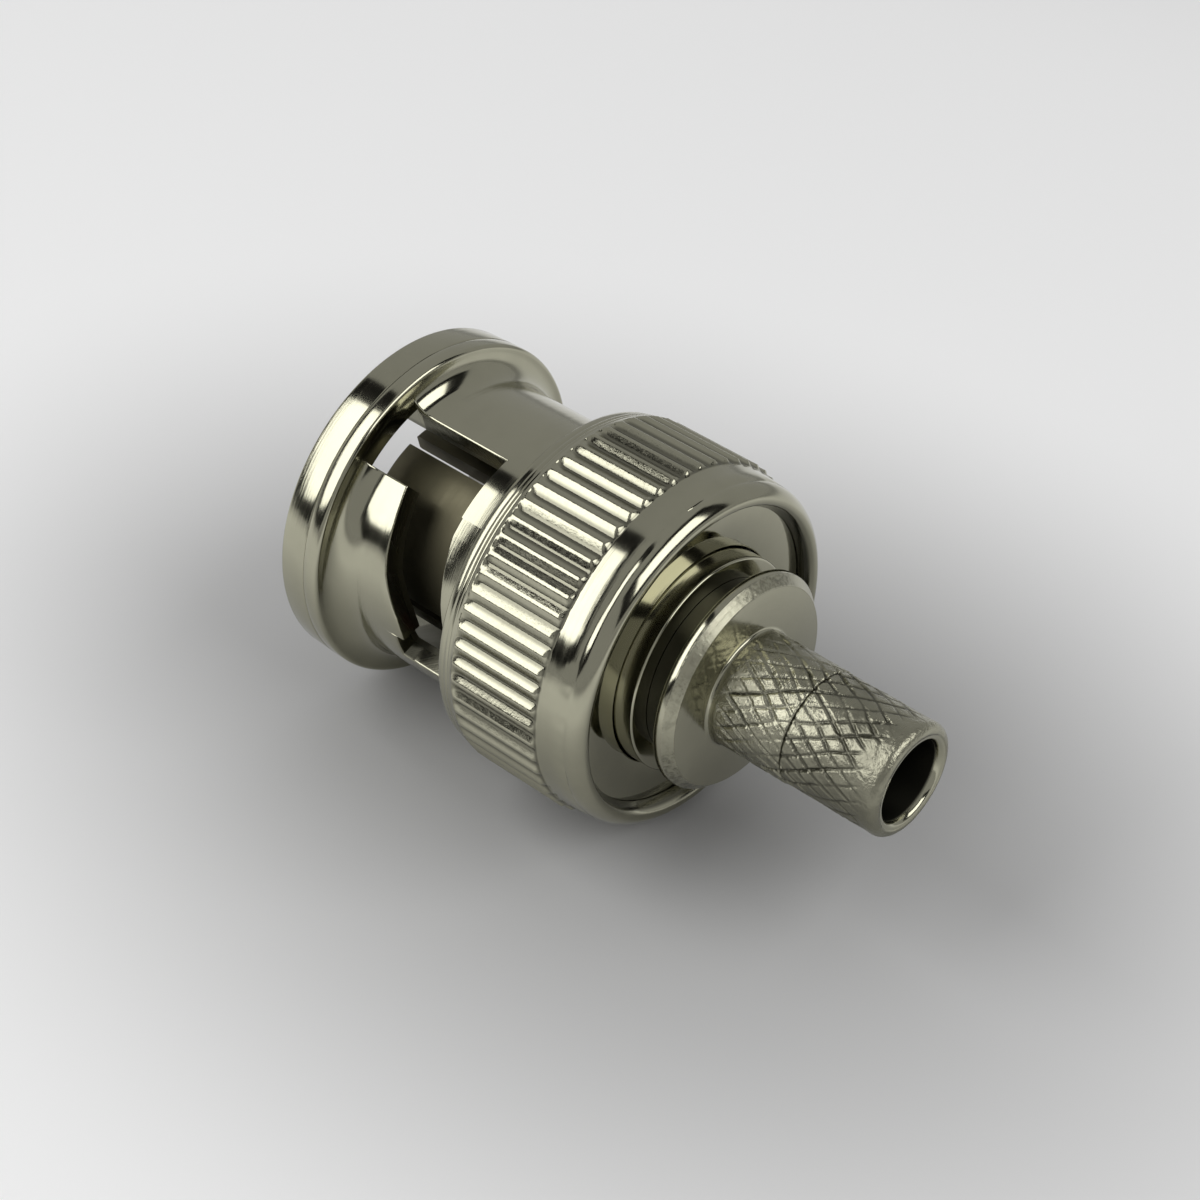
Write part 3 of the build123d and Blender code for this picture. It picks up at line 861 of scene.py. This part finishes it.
def body_surface(body):
    """Plug body: the slit contact sleeve, the flange that the nut's shoulder draws on, and the hub, one
    closed profile turned about the axis, with straight slits cut through the sleeve from its tip.
    """
    sleeve, bore = mm(body.sleeve_radius), mm(body.sleeve_bore)
    hub, hub_bore, flange = mm(body.hub_radius), mm(body.hub_bore), mm(BODY_BOX[1].z)
    tip, end = mm(BODY_BOX[0].x), mm(BODY_BOX[1].x)
    half = math.degrees(math.asin(mm(body.slit_width) / 2 / sleeve))
    spots = math.degrees(body.slit_angle) + even_angles(body.slits)
    angles = marked_angles(288, np.concatenate([spots - half, spots + half]) % 360.0, 0.3)
    slit_end = tip + mm(body.slit_length)
    wall = [tip, tip + 0.02, tip + 0.06, tip + 0.12, (tip + slit_end) / 2, slit_end, slit_end + 0.4]
    drop = np.array([0.12, 0.07, 0.03, 0.0, 0.0, 0.0, 0.0])
    skin = [(x, sleeve - d) for x, d in zip(wall, drop)]
    root = wall[-1] + 0.2
    front, rear = BODY_FLANGE
    rest = eased([
        (root, sleeve), (front, sleeve), (front, flange), (rear, flange), (rear, hub), (end, hub),
        (end, hub_bore), (INSULATOR_STEP, hub_bore), (INSULATOR_STEP, bore), (root, bore),
    ], 0.10)
    rows = np.array(skin + list(rest) + [(x, bore + d * 0.5) for x, d in zip(wall, drop)][::-1])
    outer = np.arange(len(wall))
    inner = len(rows) - 1 - outer
    in_slit = (turn_between(cell_middles(angles), spots) < half).any(1)
    cut = in_slit[:, None] & (outer[:-1] < wall.index(slit_end))
    quads = slotted_quads(len(angles), len(rows), outer, inner, cut, open_front=True)
    return around(rows[None, :, 0], rows[None, :, 1], angles), quads


def diamond_depth(stem, angles, x):
    """Depth of the barrel's diamond knurl on the grid of angles and places along the axis.

    The grooves of one hand lie where turn + x / spacing is whole, those of the other where turn - x / spacing
    is. Each is a rounded V with a low burr on both sides, and the roll's pressure fades towards both ends.
    """
    across, half_width, burr_place, burr_width = 0.59, 0.105, 0.125, 0.035
    x, a = x[None, :], np.radians(angles)[:, None]
    turn = angles[:, None] * stem.starts / 360.0
    along = x / mm(stem.lead)
    sway = wander(angles, 3, 0.06)[:, None] + 0.05 * np.sin(x * 2.3 + a * 2 + 1.0)
    depth = np.zeros(np.broadcast_shapes(x.shape, a.shape))
    for hand, press in ((1.0, 1.0), (-1.0, 0.86)):
        phase = turn + hand * along + hand * sway
        nearest = np.round(phase)
        away = np.abs(phase - nearest) * across
        groove = np.clip(1.0 - away / half_width, 0.0, 1.0) ** 1.2
        burr = np.exp(-((away - burr_place) / burr_width) ** 2)
        tooth = np.sin(nearest * 2.399 + hand) * 0.25 + np.sin(along * 3.1 + nearest * 1.7) * 0.20
        depth = np.maximum(depth, press * (1.0 + tooth) * groove) - 0.22 * burr * press * (1.0 + 2.0 * tooth)
    ragged = wander(angles, 14, 0.22)[:, None]
    start = np.clip((x - BARREL_FACE[0] - 0.06 - ragged * 0.6) / 0.5, 0.0, 1.0)
    stop = np.clip((BARREL_FACE[1] - 0.02 + ragged - x) / 0.55, 0.0, 1.0)
    patch = (0.74 + 0.36 * np.sin(a * 3 + x * 1.7)).clip(0.45, 1.0)
    return mm(stem.groove_depth) * depth * start * stop * patch


def stem_surface(stem):
    """Crimp stem: spigot, groove, chamfered disc and the hollow barrel, a closed profile turned about the
    axis, with the barrel's rows lowered by the diamond knurl.
    """
    spigot, end, relief = mm(STEM_BOX[0].x), mm(STEM_BOX[1].x), mm(stem.relief_place)
    disc, barrel, bore = mm(stem.disc_radius), mm(stem.barrel_radius), mm(stem.bore_radius)
    angles = even_angles(stem.starts * 24)
    shaft = [
        (spigot, bore), (spigot, SPIGOT_RADIUS - 0.06), (spigot + 0.06, SPIGOT_RADIUS),
        (GROOVE_START - 0.01, SPIGOT_RADIUS), (GROOVE_START, GROOVE_RADIUS),
        (DISC_FRONT - 0.05, GROOVE_RADIUS), (DISC_FRONT - 0.01, GROOVE_RADIUS + 0.03),
        (DISC_FRONT, GROOVE_RADIUS + 0.07), (DISC_FRONT, disc - 0.05), (DISC_FRONT + 0.02, disc - 0.015),
        (DISC_FRONT + 0.06, disc), (DISC_REAR - 0.41, disc), (DISC_REAR - 0.38, disc - 0.012),
        (DISC_REAR - 0.35, disc - 0.04), (DISC_REAR - 0.04, disc - 0.32), (DISC_REAR - 0.01, disc - 0.342),
        (DISC_REAR, disc - 0.37), (DISC_REAR, barrel + 0.14), (DISC_REAR + 0.012, barrel + 0.08),
        (DISC_REAR + 0.04, barrel + 0.035), (DISC_REAR + 0.10, barrel + 0.008),
    ]
    face = np.concatenate([
        np.linspace(BARREL_FACE[0], relief - 0.09, 62), relief + np.array([-0.05, -0.02, 0.0, 0.02, 0.06]),
        np.linspace(relief + 0.11, BARREL_FACE[1], 66),
    ])
    plain = np.where(face < relief, barrel - 0.018, barrel - 0.048)
    for line, deep in ((relief, 0.05), (BARREL_FACE[0] + 0.10, 0.015)):
        plain = plain - deep * np.clip(1.0 - np.abs(face - line) / 0.05, 0.0, 1.0)
    tail = [
        *arc((end - 0.34, barrel - 0.375), 0.34, 90, 0, 6), (end - 0.01, bore + 0.13),
        (end - 0.04, bore + 0.075), (end - 0.14, bore), ((end + spigot) / 2, bore),
    ]
    rows = np.concatenate([shaft, np.stack([face, plain], 1), tail])
    r = np.broadcast_to(rows[:, 1], (len(angles), len(rows))).copy()
    r[:, len(shaft):-len(tail)] = np.minimum(plain - diamond_depth(stem, angles, face), barrel)
    return around(rows[None, :, 0], r, angles), ring_quads(len(angles), len(rows))


def spring_surface(body, index):
    """Bowed washer: a flat ring bent over a cylinder across Y, so that a point at (y, z) lies at height
    bow - R + sqrt(R^2 - y^2), and the second one is turned over.
    """
    low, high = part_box(f"bowed_spring_{index + 1}")
    inner, outer = mm(body.hub_radius) + RUN_GAP, mm(high.z)
    thick, edge, steps = 0.30, 0.03, 7
    bow = mm(high.x - low.x) - thick
    sheet = (outer ** 2 + bow ** 2) / (2 * bow)
    angles = even_angles(180)
    across = np.linspace(inner, outer, steps)
    side = np.concatenate([[inner + 0.02], across[1:-1], [outer - 0.02]])
    r = np.concatenate([side, [outer, outer], side[::-1], [inner, inner]])
    lift = np.concatenate([
        np.zeros(steps), [edge, thick - edge], np.full(steps, thick), [thick - edge, edge],
    ])
    y = r[None, :] * np.cos(np.radians(angles))[:, None]
    height = bow - sheet + np.sqrt(sheet ** 2 - y ** 2) + lift[None, :]
    x = mm(low.x) + height if index == 0 else mm(high.x) - height
    return around(x, r[None, :], angles), ring_quads(len(angles), len(r))


class PLUG_OT_coupling_nut(bpy.types.Operator):
    """Build the coupling nut with its bayonet slots, straight knurl and rolled rim."""

    bl_idname = "plug.coupling_nut"
    bl_label = "Coupling nut"

    def execute(self, context):
        points, quads = nut_surface(context.scene.plug_nut)
        finish = nut_nickel("nut_nickel", context.scene.plug_nut)
        make_piece("coupling_nut_shown", points, quads, finish, "nut", "coupling_nut",
                   sharp=50.0)
        return {"FINISHED"}


class PLUG_OT_washer(bpy.types.Operator):
    """Build the polished washer inside the nut's rear rim."""

    bl_idname = "plug.washer"
    bl_label = "Retaining washer"

    def execute(self, context):
        low, high = mm(WASHER_BOX[0].x), mm(WASHER_BOX[1].x)
        outer, inner = mm(WASHER_BOX[1].z), mm(context.scene.plug_body.hub_radius) + RUN_GAP
        profile = eased([(low, inner), (low, outer), (high, outer), (high, inner)], 0.07)
        make_turned("retaining_washer_shown", profile, 288, washer_nickel("washer_nickel"), "washer",
                    "retaining_washer")
        return {"FINISHED"}


class PLUG_OT_plug_body(bpy.types.Operator):
    """Build the plug body with its slit sleeve and hub."""

    bl_idname = "plug.plug_body"
    bl_label = "Plug body"

    def execute(self, context):
        points, quads = body_surface(context.scene.plug_body)
        finish = body_nickel("body_nickel")
        make_piece("plug_body_shown", points, quads, finish, "plug", "plug_body")
        return {"FINISHED"}


class PLUG_OT_crimp_stem(bpy.types.Operator):
    """Build the stem with its chamfered disc and the diamond-knurled crimp barrel."""

    bl_idname = "plug.crimp_stem"
    bl_label = "Crimp stem"

    def execute(self, context):
        stem = context.scene.plug_stem
        points, quads = stem_surface(stem)
        finish = stem_nickel("stem_nickel", stem)
        make_piece("crimp_stem_shown", points, quads, finish, "plug", "crimp_stem",
                   sharp=50.0)
        return {"FINISHED"}


class PLUG_OT_inside(bpy.types.Operator):
    """Build the seal, the insulator and the centre pin."""

    bl_idname = "plug.inside"
    bl_label = "Seal, insulator and pin"

    def execute(self, context):
        body = context.scene.plug_body
        low, high = mm(GASKET_BOX[0].x), mm(GASKET_BOX[1].x)
        outer, inner = mm(GASKET_BOX[1].z), mm(body.sleeve_radius) + PRESS_GAP
        seal = eased([(low, inner), (low, outer), (high, outer), (high, inner)], 0.16, 5)
        make_turned("gasket_shown", seal, 180, seal_rubber("seal_rubber"), "plug", "gasket")

        low, high = mm(INSULATOR_BOX[0].x), mm(INSULATOR_BOX[1].x)
        outer, tube, pin = mm(INSULATOR_BOX[1].z), mm(body.tube_radius), mm(body.pin_radius)
        step, tail = INSULATOR_STEP - SEAT_GAP, mm(body.hub_bore) - PRESS_GAP
        hole, seat = pin + PRESS_GAP, COLLAR_RADIUS + PRESS_GAP
        bush = eased([
            (low, tube), (low, outer), (step, outer), (step, tail), (high, tail), (high, seat),
            (COLLAR_SEAT, seat), (COLLAR_SEAT, hole), (INSULATOR_FLOOR, hole), (INSULATOR_FLOOR, tube),
        ], 0.09, 4)
        make_turned("insulator_shown", bush, 180, white_insulator("insulator_white"), "plug", "insulator")

        tip, end, collar = mm(PIN_BOX[0].x), mm(PIN_BOX[1].x), COLLAR_SEAT + SEAT_GAP
        contact = eased([
            (tip, 0.0), (tip, pin * 0.5), (tip + 0.80, pin), (collar, pin), (collar, COLLAR_RADIUS),
            (end, COLLAR_RADIUS), (end, WIRE_RADIUS), (end - 3.0, WIRE_RADIUS), (end - 3.5, 0.0),
        ], 0.22, 5)
        make_turned("centre_contact_shown", contact, 120, gold_plate("pin_gold"), "plug", "centre_contact")
        return {"FINISHED"}


class PLUG_OT_springs(bpy.types.Operator):
    """Build the two bowed spring washers in their rest shape, each with a mesh of its own. The real ones
    flatten as the nut is drawn forward.
    """

    bl_idname = "plug.springs"
    bl_label = "Bowed springs"

    def execute(self, context):
        finish = spring_steel("spring_steel")
        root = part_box("bowed_spring_1")[0].x
        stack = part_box("bowed_spring_2")[1].x - root
        joints = frame["record"]["behaviour"]["joints"]
        draw = next(joint for joint in joints if joint["name"] == "nut_draw")
        keep = (stack - draw["range_m"][1]) / stack
        for index in range(2):
            points, quads = spring_surface(context.scene.plug_body, index)
            spring = make_piece(f"bowed_spring_{index + 1}_shown", points, quads, finish, "plug",
                                f"bowed_spring_{index + 1}", level=False)
            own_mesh(spring)
        return {"FINISHED"}


def aimed(place, target, side):
    """Turn of a lamp or card at place whose back is away from target and whose width lies along side."""
    back = (Vector(place) - Vector(target)).normalized()
    along = (Vector(side) - back * back.dot(Vector(side))).normalized()
    up = back.cross(along)
    return np.array([[along.x, up.x, back.x], [along.y, up.y, back.y], [along.z, up.z, back.z]])


def turned_object(thing, place, turn):
    """Puts a lamp, camera or card in its place."""
    thing.matrix_world = Matrix.Translation(place) @ Matrix(turn.tolist()).to_4x4()
    bpy.context.scene.collection.objects.link(thing)


def flat_card(name, wide, high, level, finish):
    """Rectangle of the given half width and half height, at a level along its own Z."""
    mesh = bpy.data.meshes.new(name)
    corners = [(-wide, -high, level), (wide, -high, level), (wide, high, level), (-wide, high, level)]
    mesh.from_pydata(corners, [], [(0, 1, 2, 3)])
    mesh.materials.append(finish)
    return bpy.data.objects.new(name, mesh)


def softbox(name, target, direction, side, size, brightness, cloth):
    """Rectangular lamp before a black cloth border. Its brightness is what a mirror would show of it."""
    distance, border, behind = 0.260, (0.095, 0.065), 0.004
    lamp = bpy.data.lights.new(f"{name}_softbox", "AREA")
    lamp.shape = "RECTANGLE"
    lamp.size, lamp.size_y = size
    lamp.energy = brightness * math.pi * size[0] * size[1]
    place = Vector(target) + Vector(direction).normalized() * distance
    turn = aimed(place, target, side)
    turned_object(bpy.data.objects.new(f"{name}_softbox", lamp), place, turn)
    card = flat_card(f"{name}_border", size[0] / 2 + border[0], size[1] / 2 + border[1], behind, cloth)
    turned_object(card, place, turn)


def floor_paper(name, color):
    """Matt paper with a painted shadow under the plug, and darker again in a wide ring round it. Distances
    along the plug count less than those across it.
    """
    finish = Finish(name)
    x, y, _ = finish.parts(finish.point())
    along = x - 0.012
    away = (along * along * 0.5 + y * y) ** 0.5
    # The darkest tone is a painted shadow under the plug, eased out to the full colour by the first step.
    tone = darker(color, 0.48)
    for start, end, share in ((0.005, 0.031, 1.0), (0.055, 0.140, 0.52), (0.130, 0.600, 1.0)):
        tone = finish.tint(finish.ease(away, start, end), tone, darker(color, share))
    return finish.shade(tone, 0.9, None, Specular_IOR_Level=0.0)


def border_cloth(name):
    """Black cloth with a faint mottle."""
    finish = Finish(name)
    weave = finish.noise(finish.point(), 900.0)
    tone = finish.tint(weave, (0.010, 0.010, 0.010), (0.016, 0.016, 0.016))
    return finish.shade(tone, 0.9, None, Specular_IOR_Level=0.0)


class PLUG_OT_stage(bpy.types.Operator):
    """Set the floor, the surroundings, the lamps and the camera."""

    bl_idname = "plug.stage"
    bl_label = "Stage"

    def execute(self, context):
        scene, stage = context.scene, context.scene.plug_stage
        target = Vector((0.0125, 0.0, 0.0))

        half, level = 1.2, CAD_BOX[0].z
        floor = flat_card("floor", half, half, level, floor_paper("floor_paper", stage.floor))
        scene.collection.objects.link(floor)

        world = bpy.data.worlds.new("surroundings")
        world.use_nodes = True
        world.node_tree.nodes["Background"].inputs[0].default_value = (*stage.surround, 1.0)
        scene.world = world

        cloth = border_cloth("border_cloth")
        softbox("key", target, direction=(-0.51, -0.575, 0.640), side=(0.16, -0.733, -0.660),
                size=(0.268, 0.190), brightness=stage.key, cloth=cloth)
        softbox("rear", target, direction=(0.66, 0.17, 0.69), side=(-0.25, 0.968, 0.0),
                size=(0.235, 0.150), brightness=stage.rear, cloth=cloth)

        camera = bpy.data.cameras.new("camera")
        camera.lens = stage.lens
        camera.sensor_width = 36.0
        camera.clip_start = 0.001
        eye = bpy.data.objects.new("camera", camera)
        back = Vector(stage.camera_place) - Vector(stage.camera_aim)
        side = Vector((0.0, 0.0, 1.0)).cross(back)
        turned_object(eye, stage.camera_place, aimed(stage.camera_place, stage.camera_aim, side))
        scene.camera = eye
        scene.view_settings.view_transform = "Standard"
        return {"FINISHED"}


class PLUG_PT_panel(bpy.types.Panel):
    """Sidebar list of the plug's settings and steps."""

    bl_idname = "PLUG_PT_panel"
    bl_label = "Cable plug"
    bl_space_type = "VIEW_3D"
    bl_region_type = "UI"
    bl_category = "Cable plug"

    def draw(self, context):
        for group in GROUPS:
            box = self.layout.box()
            settings = getattr(context.scene, group)
            for name in GROUPS[group].__annotations__:
                box.prop(settings, name)
        for step in STEPS:
            self.layout.operator(step.bl_idname)


GROUPS = {
    "plug_nut": NutSettings,
    "plug_body": BodySettings,
    "plug_stem": StemSettings,
    "plug_finish": FinishSettings,
    "plug_stage": StageSettings,
}
STEPS = (
    PLUG_OT_stage,
    PLUG_OT_coupling_nut,
    PLUG_OT_washer,
    PLUG_OT_plug_body,
    PLUG_OT_crimp_stem,
    PLUG_OT_inside,
    PLUG_OT_springs,
)


def register():
    for group, settings in GROUPS.items():
        bpy.utils.register_class(settings)
        setattr(bpy.types.Scene, group, PointerProperty(type=settings))
    for made in (*STEPS, PLUG_PT_panel):
        bpy.utils.register_class(made)


def unregister():
    for made in (PLUG_PT_panel, *reversed(STEPS)):
        bpy.utils.unregister_class(made)
    for group, settings in GROUPS.items():
        delattr(bpy.types.Scene, group)
        bpy.utils.unregister_class(settings)


def main():
    register()
    bpy.ops.plug.stage()
    bpy.ops.plug.coupling_nut()
    bpy.ops.plug.washer()
    bpy.ops.plug.plug_body()
    bpy.ops.plug.crimp_stem()
    bpy.ops.plug.inside()
    bpy.ops.plug.springs()
    bpy.context.view_layer.update()


if __name__ == "__main__":
    main()
